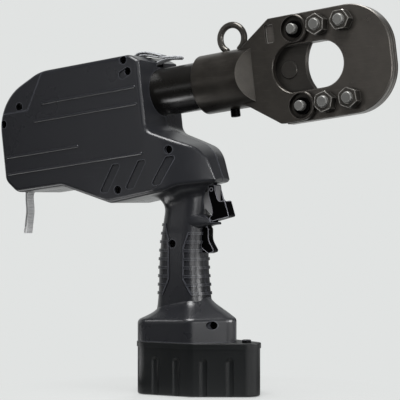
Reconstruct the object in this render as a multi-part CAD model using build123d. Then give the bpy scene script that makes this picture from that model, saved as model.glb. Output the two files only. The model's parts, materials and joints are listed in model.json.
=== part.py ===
from build123d import *
from math import atan2, cos, pi, radians, sin, sqrt, tan
import os

# Cordless hydraulic cutter for conductors, in millimetres.
# X points to the cutting head, Z is up, and the battery stands on Z = 0.

# Tool axis: where it crosses the grip, and its rise towards the head
AXIS_X = -12.0
AXIS_Z = 280.0
AXIS_TILT = 7.0
TOOL = Location((AXIS_X, 0, AXIS_Z), (0, -AXIS_TILT, 0))

# Clearances
RUN_GAP = 0.05
SEAT_GAP = 0.02
PLASTIC_GAP = 0.2
MOVE_GAP = 0.6
PARTING_GAP = 0.1

# Housing box, side view along the tool axis
HALF_WIDTH = 36.0
WALL = 3.0
BODY_TOP = 35.6
BODY_FRONT = -25.0
TOP_DROP = 8.0
TOP_RUN = 12.0
BODY_REAR = -188.5
BODY_BASE = -97.4
REAR_BASE = -74.8
SHOULDER_X = -138.0
BACK_Z = 14.0
HEEL_X = -176.5
HEEL_Z = -62.0
STEP_X = -125.0
BELLY_X = -74.0
UNDER_REAR_X = -14.0
UNDER_REAR_Z = -93.6
UNDER_FRONT_X = -5.0
NOSE_BASE = -90.5
NOSE_X = 29.6
BROW_X = 21.8
BROW_Z = -57.3
RIM_Z = -33.7
BODY_CORNERS = (0.0, 12.0, 45.0, 46.0, 11.0, 11.0, 10.0, 10.0, 8.0, 8.0, 4.5, 26.0, 10.0)
NARROW_X = -32.0
NOSE_HALF = 9.5
CROWN_BACK = 2.6
CROWN_DROP = 2.6
SEAM_W = 0.9
SEAM_DEPTH = 0.8
EDGE_ROUND = 4.0
RIB_R = 1.4
RIB_SINK = 0.4
RIB_FRONT = -34.0
SIDE_RIBS = ((5.0, -137.0, RIB_FRONT), (-10.6, -147.0, RIB_FRONT), (-40.5, -183.0, -102.0),
             (-56.4, -183.0, RIB_FRONT))
POCKET_FOOT = (-83.5, -87.0)
POCKET_RISE = 24.5
POCKET_LEAN = 17.5
POCKET_WIDTH = 9.5
POCKET_PITCH = 28.0
POCKET_COUNT = 3
POCKET_DEPTH = 1.2

# Rear corner cap
CAP_TOP_X = -133.0
CAP_BEND_X = -154.4
CAP_BEND_Z = 1.0
CAP_GAP = 0.3
CAP_SCREW = (-163.3, 5.6)
CAP_LUG_R = 5.0
CAP_LUG_T = 5.0

# Grip, side view: height, back, front, half width
GRIP_SECTIONS = ((76.0, -38.4, 11.0, 18.8), (97.0, -36.3, 8.6, 18.5), (130.0, -34.9, 6.8, 18.4),
                 (161.0, -30.9, 8.8, 17.8), (202.0, -30.5, 10.0, 17.0))
GRIP_CORNER = 13.5
GRIP_BLEND = 13.0
GRIP_RIB_H = 1.1
GRIP_RIB_W = 2.6
GRIP_RIB_PITCH = 7.84
GRIP_RIB_BASE = 90.6
GRIP_FRONT_RIBS = 8
GRIP_FRONT_EDGE = (3.2, -4.7, -4.7, 0.0)
GRIP_BACK_RIBS = 9
GRIP_BACK_EDGE = (-26.0, -19.5, -19.5, -24.0)
GRIP_EDGE_BEND = 14.0
GRIP_BORDER = 1.1
LEDGE_SECTIONS = ((-3.6, 148.0, 173.2, 17.6), (5.0, 150.6, 166.8, 15.2), (11.0, 153.0, 163.2, 11.6),
                  (17.0, 154.4, 159.8, 7.6), (22.6, 155.0, 157.0, 4.2))

# Foot of the housing and battery, both wrapped round the standing cells
CELL_R = 10.9
CELL_H = 41.5
CELL_PITCH = 22.0
CELL_REAR_X = -34.9
CASE_WALL = 2.9
ROW_STEP = 20.2
FOOT_MID_X = 5.1
FOOT_FRONT_X = 25.1
FOOT_WALL_TOP = 68.6
FOOT_WALL_TILT = 1.0
FOOT_TOP = 83.0
FOOT_TILT = 12.0
FOOT_HOLLOW = 1.4
FOOT_STEPS = 4
FOOT_ROUND = 5.0
FOOT_LEAN = 1.5
CASE_TOP = 43.5
BATTERY_TOP = 48.4
BATTERY_EDGE = 2.0
LID_LIP = 0.8
FLUTE_R = 4.5
FLUTE_DEPTH = 2.0
FLUTE_TOP = 36.0
FLUTE_SHARES = (0.18, 0.7)
STEM_REAR = -26.0
STEM_FRONT = 2.0
STEM_HALF = 11.0
STEM_TOP = 76.0
STEM_WALL = 2.5
CONTACT_R = 1.6
CONTACT_H = 3.0
TERMINAL_H = 12.0
BUTTON_X = 51.1
BUTTON_R = 4.2
BUTTON_RISE = 2.6
BUTTON_TRAVEL = 2.0
BUTTON_WELL_R = 6.0

# Housing screws, along the tool axis or in the part frame
SCREW_R = 2.0
SCREW_HEAD_R = 3.6
SCREW_HEAD_H = 2.6
SCREW_SINK = 2.0
SCREW_END = 6.0
BOSS_R = 4.4
STRAP_SCREW = (-43.0, 31.2)
STRAP_PIN = (-180.8, -62.2)
STRAP_PIN_HALF = 15.0
BODY_SCREWS = ((-63.1, -86.3), (-7.0, -56.4), (-183.5, -8.5))
HANDLE_SCREWS = ((-16.4, 137.3), (26.0, 64.0))
SLEEVE_R = 3.4
SLEEVE_HALF = 8.0

# Hydraulic cylinder
TUBE_R = 22.0
BORE_R = 16.0
TUBE_REAR = -96.0
TUBE_FRONT = 57.0
GROOVE_X = 48.5
GROOVE_W = 6.0
GROOVE_DEPTH = 2.0
PISTON_REAR = -92.0
PISTON_FRONT = -68.0
ROD_R = 11.0
ROD_FRONT = 46.0
TONGUE_FRONT = 86.0
TONGUE_HALF_H = 8.0
GLAND_L = 15.0
SEAL_W = 4.0
SEAL_T = 2.4
SPRING_WIRE_R = 1.2
SPRING_TURNS = 13
CLAMP_REAR = -52.0
CLAMP_FRONT = -32.0
CLAMP_HALF_H = 25.6
CLAMP_SCREW = (-39.5, 20.2)
CLAMP_SCREW_L = 9.0
CLAMP_RECESS_L = 14.0
CLAMP_RECESS_DEPTH = 1.2
CLAMP_RECESS_TURN = 22.0

# Head
COLLAR_R = 27.0
COLLAR_REAR = 20.0
SHOULDER_GAP = 0.5
SLOPE_START = 66.4
SLOPE_END = 77.0
EAR_HALF = 12.0
NECK_X = 68.0
FLARE_X = 97.0
FLARE_LOW_X = 99.6
HEAD_HALF = 47.5
WINDOW_X = 119.4
WINDOW_R = 22.5
SLOT_X = 85.5
ROD_BORE_GAP = 0.3
STEEL_EDGE = 0.7
BOLT_X = 120.8
BOLT_PITCH = 23.9
BOLT_Z = 34.4
BOLT_R = 5.0
NUT_FLATS = 16.5
NUT_H = 10.0
NUT_TURNS = (21.0, 0.0, 14.0, 33.0)
BOLT_HEAD_H = 6.4
BOLT_END = 2.8
EAR_BORE_R = 11.6
EAR_BORE_DEPTH = 3.6
EAR_PIN_R = 4.6
EAR_PIN_RISE = 4.4
PIN_RING_R = 7.6
PIN_RING_T = 2.0
PLATE_HALF = 48.2
PLATE_T = 4.0
PLATE_REAR = 103.0
PLATE_NOSE = 210.1
NOSE_R = 40.0
HOLE_X = 143.3
HOLE_R = 20.9
GUIDE_END = 175.0
BLADE_T = 5.0
BLADE_REAR = 87.0
BLADE_TIP = 133.6
BLADE_MID = 126.6
BLADE_BOSS_X = 109.0
BLADE_BOSS_R = 8.0
BLADE_BOSS_RISE = 1.2
BLADE_BEVEL = 1.5
TANG_L = 14.0
TANG_HALF = 7.5
BLADE_PIN_R = 3.0
LATCH_X = 97.4
LATCH_Z = 34.0
LATCH_W = 8.5
LATCH_H = 17.0
LATCH_SINK = 4.0
LATCH_T = 1.6
EYE_X = 53.3
EYE_Z = 37.8
EYE_R = 12.35
EYE_WIRE_R = 2.95
EYE_SWEEP = 146.0
EYE_SEAT = 23.6
LOCK_HEAD_R = 4.4
LOCK_HEAD_H = 6.4
LOCK_R = 2.6
LOCK_SOCKET = 4.0

# Drive inside the housing
MOTOR_Z = -50.5
MOTOR_R = 20.5
MOTOR_WALL = 2.0
MOTOR_REAR = -121.0
MOTOR_FRONT = -66.0
ROTOR_R = 15.0
SHAFT_R = 3.0
GEAR_MODULE = 1.5
PINION_TEETH = 10
GEAR_TEETH = 36
GEAR_REAR = -146.0
GEAR_W = 9.0
PUMP_REAR = -134.0
PUMP_FRONT = -84.0
PUMP_HALF = 27.0
PUMP_TOP = 28.0
DRIVE_R = 5.0
BEARING_R = 11.0
BEARING_W = 6.0
BEARING_GAP = 16.0
LOBE_R = 7.0
LOBE_OFFSET = 1.8
PLUNGER_R = 4.0
PLUNGER_L = 18.0
BLADDER_REAR = -168.5
BLADDER_FRONT = -149.0
BLADDER_HALF = 25.0
BLADDER_LOW = -30.0
BLADDER_HIGH = 17.0
NECK_R = 4.0
NECK_Z = 17.5
VALVE_L = 13.0
VALVE_HALF = 8.0
VALVE_LOW = -42.0
RIB_T = 4.0

# Triggers, side view in the part frame
TRIGGER_PIN = (17.9, 186.9)
TRIGGER_PIN_R = 1.6
TRIGGER_HALF = 6.3
TRIGGER_CHEEK = 1.5
TRIGGER_WALL = 2.0
LEVER_TOP = 191.2
LEVER_SIDE = ((14.4, LEVER_TOP), (15.0, 181.5), (17.7, 173.0), (19.2, 165.3), (15.2, 159.4),
              (19.3, 158.0), (36.4, 162.3), (31.8, 177.0), (26.6, 176.0), (24.3, 178.3),
              (21.6, 187.1), (21.1, LEVER_TOP))
LEVER_OPEN_Z = 176.3
LEVER_ROOM_X = 10.4
CORE_CENTRE = (23.4, 176.6)
CORE_R = 13.8
CORE_FRONT = 21.6
SWITCH_REAR = -5.0
SWITCH_LOW = 166.0
SWITCH_HIGH = 187.0
SWITCH_HALF = 8.0
SWITCH_FRONT = 4.4
SWITCH_STEP = 3.0
RELEASE_PIN = (4.6, 149.8)
RELEASE_LUG_T = 3.4
RELEASE_LUG_R = 3.4
RELEASE_HALF = 4.5
RELEASE_SIDE = ((12.4, 153.4), (13.9, 150.8), (13.8, 140.8), (20.2, 130.3), (14.0, 128.4),
                (6.5, 133.4), (6.0, 145.8), (-4.6, 147.8), (-4.6, 151.5), (6.0, 153.4))
ROD_FOOT = (-2.2, 153.2)
LINK_R = 2.0
LINK_GAP = 2.4

# Woven carrying tabs
STRAP_W = 10.0
STRAP_T = 1.6
STRAP_SLOT_GAP = 1.0
FRONT_END = (-3.5, 28.4)
REAR_END_Z = 148.5
REAR_STRAP_X = -188.6


# Small builders shared by the pieces

def slab(face, low, high):
    """A face drawn in the X-Z plane, from one Y level to another."""
    return extrude(Plane.XZ.offset(-high) * face, high - low)


def box(x0, x1, y0, y1, z0, z1):
    return Pos((x0 + x1) / 2, (y0 + y1) / 2, (z0 + z1) / 2) * Box(x1 - x0, y1 - y0, z1 - z0)


def bar(x0, x1, radius, y=0.0, z=0.0):
    return Pos((x0 + x1) / 2, y, z) * Rot(0, 90, 0) * Cylinder(radius, x1 - x0)


def cross(x, z, y0, y1, radius):
    return Pos(x, (y0 + y1) / 2, z) * Rot(90, 0, 0) * Cylinder(radius, y1 - y0)


def post(x, y, z0, z1, radius):
    return Pos(x, y, (z0 + z1) / 2) * Cylinder(radius, z1 - z0)


def strut(start, end, radius):
    """Round bar between two points of the X-Z plane."""
    first = Vector(start[0], 0, start[1])
    line = Vector(end[0], 0, end[1]) - first
    return Plane(origin=first, z_dir=line) * Pos(0, 0, line.length / 2) * Cylinder(radius, line.length)


def drawn(points, radii):
    return make_face(FilletPolyline(*points, radius=radii, close=True))


def polygon(points):
    return make_face(Polyline(*points, close=True))


def inset(points, radii, depth):
    """Points and corner radii of the same outline, moved in by a depth."""
    count = len(points)
    area = sum(points[i - 1][0] * points[i][1] - points[i][0] * points[i - 1][1] for i in range(count))
    turn = 1 if area > 0 else -1
    edges = []
    for i in range(count):
        x0, z0 = points[i]
        x1, z1 = points[(i + 1) % count]
        size = sqrt((x1 - x0) ** 2 + (z1 - z0) ** 2)
        nx, nz = -turn * (z1 - z0) / size, turn * (x1 - x0) / size
        edges.append((nx, nz, nx * (x0 + nx * depth) + nz * (z0 + nz * depth)))
    moved, rounds = [], []
    for i in range(count):
        a0, b0, c0 = edges[i - 1]
        a1, b1, c1 = edges[i]
        det = a0 * b1 - a1 * b0
        moved.append(((c0 * b1 - c1 * b0) / det, (a0 * c1 - a1 * c0) / det))
        inward = depth if det * turn > 0 else -depth
        rounds.append(max(radii[i] - inward, 0.0) if radii[i] else 0.0)
    return moved, rounds


def to_part(x, z):
    """A point of the tool axis frame, in the part frame."""
    lean = radians(AXIS_TILT)
    return AXIS_X + x * cos(lean) - z * sin(lean), AXIS_Z + x * sin(lean) + z * cos(lean)


def coil(mean_r, wire_r, length, turns):
    """Round wire spring along Z, from half turns that meet in line."""
    rise = (length - 2 * wire_r) / (2 * turns)
    swing = sqrt(mean_r ** 2 + (rise / 2) ** 2)
    arcs = []
    for half in range(2 * turns):
        side = 1 if half % 2 == 0 else -1
        low = wire_r + half * rise
        arcs.append(ThreePointArc((side * mean_r, 0, low), (0, side * swing, low + rise / 2),
                                  (-side * mean_r, 0, low + rise)))
    path = Wire(arcs)
    return sweep(Plane(origin=path @ 0, z_dir=path % 0) * Circle(wire_r), path=path)


def hexagon(flats, height):
    """Hexagon prism on Z = 0 with its corners turned off."""
    corner = flats / sqrt(3)
    blank = extrude(RegularPolygon(corner, 6), height)
    turned = Pos(0, 0, height / 2) * Cylinder(corner, height)
    return blank & chamfer(turned.edges(), 0.6 * (corner - flats / 2))


# Housing

def body_block(depth):
    """Outside of the housing box, or its inside at a depth below the skin."""
    points = [(BODY_FRONT, BODY_TOP - TOP_DROP), (BODY_FRONT - TOP_RUN, BODY_TOP),
              (SHOULDER_X, BODY_TOP), (BODY_REAR, BACK_Z),
              (BODY_REAR, HEEL_Z), (HEEL_X, REAR_BASE), (STEP_X, REAR_BASE), (BELLY_X, BODY_BASE),
              (UNDER_REAR_X, UNDER_REAR_Z), (UNDER_FRONT_X, NOSE_BASE), (NOSE_X, NOSE_BASE),
              (BROW_X, BROW_Z), (BODY_FRONT, RIM_Z)]
    side, rounds = inset(points, BODY_CORNERS, depth)
    half = HALF_WIDTH - depth
    tip = NOSE_HALF - depth
    rear = BODY_REAR - WALL
    front = NOSE_X + WALL
    upper = TangentArc((NARROW_X, half), (front, tip), tangent=(1, 0))
    lower = TangentArc((NARROW_X, -half), (front, -tip), tangent=(1, 0))
    rest = Polyline((front, tip), (front, -tip)) + Polyline(
        (NARROW_X, -half), (rear, -half), (rear, half), (NARROW_X, half))
    plan = make_face([upper, lower] + list(rest.edges()))
    tall = extrude(Pos(0, 0, BODY_BASE - WALL) * plan, BODY_TOP - BODY_BASE + 2 * WALL)
    block = slab(drawn(side, rounds), -half, half) & tall - crown_cuts(side, rounds)
    if depth == 0:
        block = fillet(block.edges().filter_by(Axis.Y, reverse=True).filter_by(on_rim), EDGE_ROUND)
    return block


def on_rim(edge):
    """True for the edges of the sides and of the front's top."""
    return edge.center().Z > BODY_TOP - SEAT_GAP or min(abs(v.Y) for v in edge.vertices()) > SEAM_W


def crown_cuts(side, rounds):
    """Space ahead of the front and the nose, leaning back from a ridge on the middle plane."""
    nose_x, nose_z = side[10]
    brow_x, brow_z = side[11]
    low = (2 * nose_x - brow_x, 2 * nose_z - brow_z)
    ahead = 2 * NOSE_X
    high = 2 * BODY_TOP
    points = ((side[12][0], high), side[12], side[11], low, (ahead, low[1]), (ahead, high))
    space = drawn(points, (0, rounds[12], rounds[11], 0, 0, 0))
    way = Vector(-2 * CROWN_BACK, -2 * HALF_WIDTH, -2 * CROWN_DROP)
    near = extrude(Plane.XZ * space, way.length, dir=way.normalized())
    return near + mirror(near, Plane.XZ)


def grip_bar(depth):
    faces = []
    for height, back, front, half in GRIP_SECTIONS:
        outline = RectangleRounded(front - back - 2 * depth, 2 * (half - depth), GRIP_CORNER - depth)
        faces.append(Pos((back + front) / 2, 0, height) * outline)
    return loft(faces)


def wrapped(rear, middle, front, half, radius):
    """Outline round two rear, two middle and one front circle."""
    spots = ((rear, half), (rear, -half), (middle, half), (middle, -half), (front, 0))
    return make_hull([(Pos(x, y) * Circle(radius)).edge() for x, y in spots])


def case_r():
    return CELL_R + CASE_WALL


def foot(depth):
    """Flared foot of the grip above the battery."""
    back, front, half = GRIP_SECTIONS[0][1:]
    back, front = back + FOOT_LEAN, front + FOOT_LEAN
    neck_r = GRIP_CORNER - 1.5
    low = (CELL_REAR_X, FOOT_MID_X, FOOT_FRONT_X, CELL_PITCH, case_r() - depth)
    high = (back + neck_r, front - neck_r - 4.5, front - neck_r, half - neck_r, neck_r - depth)
    wall = extrude(Pos(0, 0, BATTERY_TOP) * wrapped(*low), FOOT_TOP - BATTERY_TOP)
    above = Pos(0, 0, FOOT_TOP / 2) * Box(4 * FOOT_TOP, 4 * FOOT_TOP, FOOT_TOP)
    wall -= Pos(0, 0, FOOT_WALL_TOP) * Rot(0, -FOOT_WALL_TILT, 0) * above
    faces = [wall.faces().sort_by(Axis.Z)[-1]]
    middle = (back + front) / 2
    for i in range(1, FOOT_STEPS + 1):
        rise = i / FOOT_STEPS
        out = (1 - rise) ** FOOT_HOLLOW
        outline = wrapped(*(b + (a - b) * out for a, b in zip(low, high)))
        tilt = FOOT_WALL_TILT + (FOOT_TILT - FOOT_WALL_TILT) * rise
        level = FOOT_WALL_TOP + (FOOT_TOP - FOOT_WALL_TOP) * rise
        faces.append(Pos(middle, 0, level) * Rot(0, -tilt, 0) * Pos(-middle, 0, 0) * outline)
    return wall + loft(faces)


def rounded_foot():
    skin = foot(0)
    rise = tan(radians(FOOT_WALL_TILT))
    rim = skin.edges().filter_by(
        lambda e: abs(e.center().Z - FOOT_WALL_TOP - rise * e.center().X) < SEAT_GAP)
    return fillet(rim, FOOT_ROUND)


def blended(skin, handle):
    """Box and grip joined, with a hollow round along the seam under the box."""
    joined = skin + handle
    before = [e.center() for e in skin.edges() + handle.edges()]
    seam = joined.edges().filter_by(GeomType.BSPLINE).filter_by(lambda e: e.length < HALF_WIDTH)
    seam = seam.filter_by(lambda e: all((e.center() - c).length > SEAT_GAP for c in before))
    return fillet(seam, GRIP_BLEND)


def ledge():
    """Rounded lip between the two triggers: place along X, bottom, top, half width."""
    faces = []
    for x, low, high, half in LEDGE_SECTIONS:
        across = Plane(origin=(x, 0, (low + high) / 2), x_dir=(0, 1, 0), z_dir=(1, 0, 0))
        faces.append(across * RectangleRounded(2 * half, high - low, 0.45 * (high - low)))
    return loft(faces)


def grip_ribs():
    """Raised bands on the front and on the back of the grip, each field with a raised border."""
    low = GRIP_RIB_BASE
    raised = []
    for count, edge, beyond in ((GRIP_FRONT_RIBS, GRIP_FRONT_EDGE, HALF_WIDTH),
                                (GRIP_BACK_RIBS, GRIP_BACK_EDGE, -2 * HALF_WIDTH)):
        high = low + (count - 1) * GRIP_RIB_PITCH + GRIP_RIB_W
        levels = (low, low + GRIP_EDGE_BEND, high - GRIP_EDGE_BEND, high)
        points = list(zip(edge, levels)) + [(beyond, high), (beyond, low)]
        field = polygon(points)
        inner = inset(points, (0,) * len(points), GRIP_BORDER)[0]
        raised.append(field - polygon(inner))
        for i in range(count):
            middle = low + i * GRIP_RIB_PITCH + GRIP_RIB_W / 2
            raised.append(field & Pos(0, middle) * Rectangle(5 * HALF_WIDTH, GRIP_RIB_W))
    return grip_bar(-GRIP_RIB_H) & slab(Sketch() + raised, -HALF_WIDTH, HALF_WIDTH)


def side_ribs():
    ribs = []
    for z, rear, front in SIDE_RIBS:
        for side in (-1, 1):
            y = side * (HALF_WIDTH - RIB_SINK)
            ribs.append(bar(rear, front, RIB_R, y, z))
            ribs.append(Pos(front, y, z) * Sphere(RIB_R))
            ribs.append(Pos(rear, y, z) * Sphere(RIB_R))
    return TOOL * (Part() + ribs)


def pockets():
    """Slanted shallow recesses low on both sides."""
    x, z = POCKET_FOOT
    cuts = []
    for i in range(POCKET_COUNT):
        left = x + i * POCKET_PITCH
        side = ((left, z), (left + POCKET_WIDTH, z), (left + POCKET_WIDTH + POCKET_LEAN, z + POCKET_RISE),
                (left + POCKET_LEAN, z + POCKET_RISE))
        face = drawn(side, (2.0, 2.0, 2.0, 2.0))
        cuts.append(slab(face, -HALF_WIDTH - WALL, HALF_WIDTH + WALL))
    return TOOL * (Part() + cuts - body_block(POCKET_DEPTH))


def cap_region(gap):
    slope = (CAP_TOP_X - CAP_BEND_X) / (BODY_TOP - CAP_BEND_Z)
    high = BODY_TOP + WALL
    rear = BODY_REAR - WALL
    side = ((CAP_TOP_X + gap + slope * WALL, high), (CAP_BEND_X + gap, CAP_BEND_Z - gap),
            (rear, CAP_BEND_Z - gap), (rear, high))
    return TOOL * slab(polygon(side), -2 * HALF_WIDTH, 2 * HALF_WIDTH)


def through_screws():
    """Every screw that joins the halves, in the part frame: x, z, half width there."""
    flat = HALF_WIDTH - SCREW_SINK
    places = [to_part(*spot) + (flat,) for spot in (STRAP_SCREW,) + BODY_SCREWS[:1]]
    places.append(to_part(*BODY_SCREWS[1]) + (HALF_WIDTH - 4.0 - SCREW_SINK,))
    places.append(to_part(*BODY_SCREWS[2]) + (flat - 1.0,))
    places.append(HANDLE_SCREWS[0] + (GRIP_SECTIONS[2][3] - SCREW_SINK,))
    places.append(HANDLE_SCREWS[1] + (CELL_PITCH - 3 * SCREW_SINK,))
    return places


def bosses(inside):
    spots = [place[:2] for place in through_screws()] + [to_part(*STRAP_PIN)]
    studs = [cross(x, z, -HALF_WIDTH, HALF_WIDTH, BOSS_R) for x, z in spots]
    return (Part() + studs) & inside


def screw_cuts():
    cuts = []
    for x, z, half in through_screws():
        head = half - SCREW_HEAD_H
        cuts.append(cross(x, z, -2 * HALF_WIDTH, -head, SCREW_HEAD_R + PLASTIC_GAP))
        cuts.append(cross(x, z, -half, SCREW_END + SCREW_SINK, SCREW_R + SEAT_GAP))
    return Part() + cuts


def motor_ribs(inside):
    ribs = []
    for x in (MOTOR_REAR + 12.0, MOTOR_FRONT - 12.0):
        ribs.append(box(x - RIB_T / 2, x + RIB_T / 2, -HALF_WIDTH, HALF_WIDTH, BODY_BASE,
                        MOTOR_Z + MOTOR_R - 1.0))
    web = (TOOL * (Part() + ribs)) & inside
    return web - TOOL * bar(MOTOR_REAR, MOTOR_FRONT, MOTOR_R + SEAT_GAP, z=MOTOR_Z)


def pump_low():
    return MOTOR_Z + MOTOR_R + 0.5


def pump_ribs(inside):
    middle = (PUMP_REAR + PUMP_FRONT) / 2
    web = box(middle - RIB_T / 2, middle + RIB_T / 2, -HALF_WIDTH, HALF_WIDTH, pump_low(), BODY_TOP)
    seat = PUMP_HALF + SEAT_GAP
    room = box(PUMP_REAR, PUMP_FRONT, -seat, seat, pump_low(), PUMP_TOP + SEAT_GAP)
    return ((TOOL * web) & inside) - TOOL * room


def handle_ribs(inside):
    """Webs that hold the switch and the terminal block in the grip."""
    switch_z = (SWITCH_LOW + SWITCH_HIGH) / 2
    gap = SEAT_GAP
    wide = SWITCH_HALF + gap
    upper = box(-HALF_WIDTH, SWITCH_REAR + 10.0, -HALF_WIDTH, HALF_WIDTH, switch_z - RIB_T / 2,
                switch_z + RIB_T / 2)
    upper -= box(SWITCH_REAR - gap, HALF_WIDTH, -wide, wide, SWITCH_LOW, SWITCH_HIGH)
    upper -= strut(ROD_FOOT, valve_foot(), LINK_R + MOVE_GAP)
    low = terminal_low() + TERMINAL_H / 2
    lower = box(-2 * HALF_WIDTH, HALF_WIDTH, -HALF_WIDTH, HALF_WIDTH, low - RIB_T / 2, low + RIB_T / 2)
    stem = STEM_HALF + gap
    lower -= box(STEM_REAR - gap, STEM_FRONT + gap, -stem, stem, 0, STEM_TOP + HALF_WIDTH)
    return (upper + lower) & inside


def trigger_openings():
    half = TRIGGER_HALF + MOVE_GAP
    high = LEVER_TOP + MOVE_GAP
    upper = box(LEVER_ROOM_X, 3 * HALF_WIDTH, -half, half, LEVER_SIDE[5][1] - MOVE_GAP, high)
    core = cross(*CORE_CENTRE, -half, half, CORE_R + MOVE_GAP)
    neck = switch_half() + PLASTIC_GAP
    gap = SWITCH_STEP - PLASTIC_GAP
    core += box(SWITCH_FRONT, LEVER_ROOM_X, -neck, neck, SWITCH_LOW + gap, SWITCH_HIGH - gap)
    narrow = RELEASE_HALF + MOVE_GAP
    lower = box(-3.5, HALF_WIDTH, -narrow, narrow, RELEASE_SIDE[4][1] + MOVE_GAP, RELEASE_SIDE[0][1] + MOVE_GAP)
    return upper + core + lower


def switch_half():
    """Half width of the switch nose between the lever's cheeks."""
    return TRIGGER_HALF - TRIGGER_CHEEK - PLASTIC_GAP


def strap_slots():
    x, z = to_part(*STRAP_PIN)
    half = STRAP_W / 2 + STRAP_SLOT_GAP
    room = SLEEVE_R + 2 * STRAP_T + STRAP_SLOT_GAP
    fx, fz = STRAP_SCREW
    front = box(fx - room, fx + room, -half, half, fz - room, BODY_TOP + WALL)
    rear = box(x - room, x + room, -half, half, z - 3 * WALL, z + room)
    low = fz - strap_hug()
    mouth = box(fx, BODY_FRONT + WALL, -half, half, low - 2 * STRAP_T, low + 2 * STRAP_T)
    return TOOL * (front + mouth) + rear


def housing():
    """Right and left shells, split on the middle plane."""
    outer = blended(TOOL * body_block(0), grip_bar(0)) + rounded_foot()
    inside = (TOOL * body_block(WALL)) + grip_bar(WALL) + foot(WALL)
    core = (TOOL * body_block(SEAM_DEPTH)) + grip_bar(SEAM_DEPTH) + foot(SEAM_DEPTH)
    side = 4 * (AXIS_Z - BODY_REAR)
    seam = (outer & box(-side, side, -SEAM_W / 2, SEAM_W / 2, -side, side)) - core
    shell = outer - seam + ledge() + grip_ribs() + side_ribs()
    shell = shell - pockets() - inside
    shell = shell + bosses(outer & inside) + motor_ribs(inside) + pump_ribs(inside) + handle_ribs(inside)
    shell = shell + release_lugs(inside) - release_pin_hole()
    shell = shell - TOOL * bar(BODY_FRONT - HALF_WIDTH, NOSE_X, TUBE_R + PLASTIC_GAP)
    shell = shell - cap_region(CAP_GAP) + cap_lugs()
    shell = shell - screw_cuts() - cap_screw_holes() - clamp_screw_cuts()
    shell = shell - trigger_openings() - strap_slots()
    right = shell & box(-side, side, -side, -PARTING_GAP, -side, side)
    left = shell & box(-side, side, PARTING_GAP, side, -side, side)
    return right, left


def rear_cap():
    shell = TOOL * body_block(0) - TOOL * body_block(WALL)
    cap = shell & cap_region(0)
    return cap - cap_screw_holes()


def cap_lugs():
    """Tabs of the housing behind the cap's side walls, for the cap's screws."""
    x, z = CAP_SCREW
    out = HALF_WIDTH - WALL - SEAT_GAP
    tabs = []
    for side in (-1, 1):
        low, high = sorted((side * out, side * (out - CAP_LUG_T)))
        tab = cross(x, z, low, high, CAP_LUG_R)
        tab += box(x - CAP_LUG_R, x + CAP_LUG_R, low, high, z - 3 * CAP_LUG_R, z)
        foot_low, foot_high = sorted((side * out, side * (HALF_WIDTH - WALL / 2)))
        tab += box(x - CAP_LUG_R, x + CAP_LUG_R, foot_low, foot_high, z - 3 * CAP_LUG_R, CAP_BEND_Z - 3.0)
        tabs.append(tab)
    return TOOL * (Part() + tabs)


def cap_screw_holes():
    x, z = CAP_SCREW
    out = HALF_WIDTH - WALL + 1.0
    cuts = [cross(x, z, -2 * HALF_WIDTH, -out, SCREW_HEAD_R + PLASTIC_GAP)]
    cuts.append(cross(x, z, out, 2 * HALF_WIDTH, SCREW_HEAD_R + PLASTIC_GAP))
    cuts.append(cross(x, z, -out, CAP_LUG_T - out, SCREW_R + SEAT_GAP))
    cuts.append(cross(x, z, out - CAP_LUG_T, out, SCREW_R + SEAT_GAP))
    return TOOL * (Part() + cuts)


def screw(head_y, end_y):
    """Cross recessed screw along Y, its head towards -Y."""
    body = cross(0, 0, head_y, head_y + SCREW_HEAD_H, SCREW_HEAD_R)
    body = fillet(body.edges().sort_by(Axis.Y)[0], 0.8)
    body += cross(0, 0, head_y + SCREW_HEAD_H, end_y, SCREW_R)
    slot = box(-SCREW_HEAD_R * 0.62, SCREW_HEAD_R * 0.62, head_y - 1, head_y + 1.3, -0.55, 0.55)
    return body - slot - Rot(0, 90, 0) * slot


def housing_screws():
    return Part() + [Pos(x, 0, z) * screw(-half, SCREW_END) for x, z, half in through_screws()]


def cap_screws():
    x, z = CAP_SCREW
    head = HALF_WIDTH - WALL + 1.0 + SCREW_HEAD_H
    near = Pos(x, 0, z) * screw(-head, CAP_LUG_T - head + SCREW_HEAD_H)
    return TOOL * (near + mirror(near, Plane.XZ))


def strap_sleeves():
    """Sleeve on the front strap's screw, and the plain pin of the rear strap."""
    sleeve = cross(*to_part(*STRAP_SCREW), -SLEEVE_HALF, SLEEVE_HALF, SLEEVE_R)
    return [sleeve, cross(*to_part(*STRAP_PIN), -STRAP_PIN_HALF, STRAP_PIN_HALF, SLEEVE_R)]


def fitted_shells():
    """The shells with their bosses relieved for the strap sleeve and the strap pin."""
    right, left = housing()
    half = SLEEVE_HALF + SEAT_GAP
    room = Part() + [cross(*to_part(*spot), -half, half, BOSS_R + SEAT_GAP) for spot in (STRAP_SCREW, STRAP_PIN)]
    reach = STRAP_PIN_HALF + SEAT_GAP
    room += cross(*to_part(*STRAP_PIN), -reach, reach, SLEEVE_R + SEAT_GAP)
    return right - room, left - room


# Hydraulics

def cylinder_tube():
    tube = bar(TUBE_REAR, TUBE_FRONT, TUBE_R) - bar(TUBE_REAR, TUBE_FRONT, BORE_R)
    ring = bar(GROOVE_X - GROOVE_W / 2, GROOVE_X + GROOVE_W / 2, TUBE_R + 1)
    ring -= bar(GROOVE_X - GROOVE_W, GROOVE_X + GROOVE_W, TUBE_R - GROOVE_DEPTH)
    return TOOL * (tube - ring)


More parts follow.
